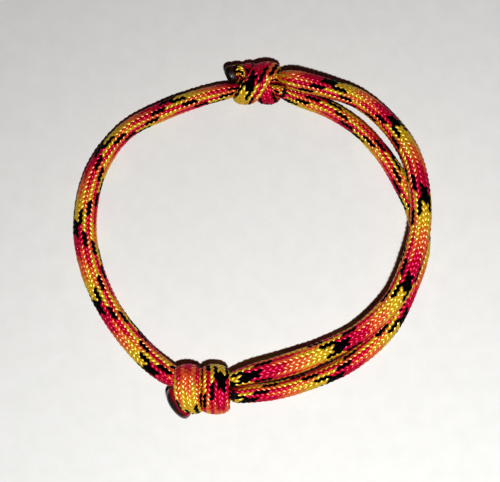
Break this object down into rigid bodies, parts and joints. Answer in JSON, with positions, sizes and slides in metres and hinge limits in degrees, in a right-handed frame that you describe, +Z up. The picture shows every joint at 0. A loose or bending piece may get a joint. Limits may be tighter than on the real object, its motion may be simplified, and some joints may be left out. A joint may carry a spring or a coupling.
{
  "type": "rope bracelet",
  "caption": "Adjustable bracelet of one braided cord, a whole loop tied to itself with sliding double overhand knots, ends melted shut.",
  "frame": {"origin": "middle of the loop's bounding box, on the surface that the bracelet lies on", "axes": "+Z up out of the plane that the loop lies in, +Y towards the upper knot, +X towards the doubled side"},
  "size_m": [0.062, 0.0616, 0.0084],
  "materials": {
    "braided_cord": "braided nylon sleeve of sixteen yarns each way in black, yellow, orange and crimson, satin",
    "melted_end": "melted and cooled nylon, glossy, dark brown"
  },
  "bodies": {
    "root": {"wrist_strand": "braided_cord", "over_strand": "braided_cord", "under_strand": "braided_cord", "upper_knot": "braided_cord", "lower_knot": "braided_cord", "upper_sealed_tip": "melted_end", "lower_sealed_tip": "melted_end"}
  },
  "joints": []
}
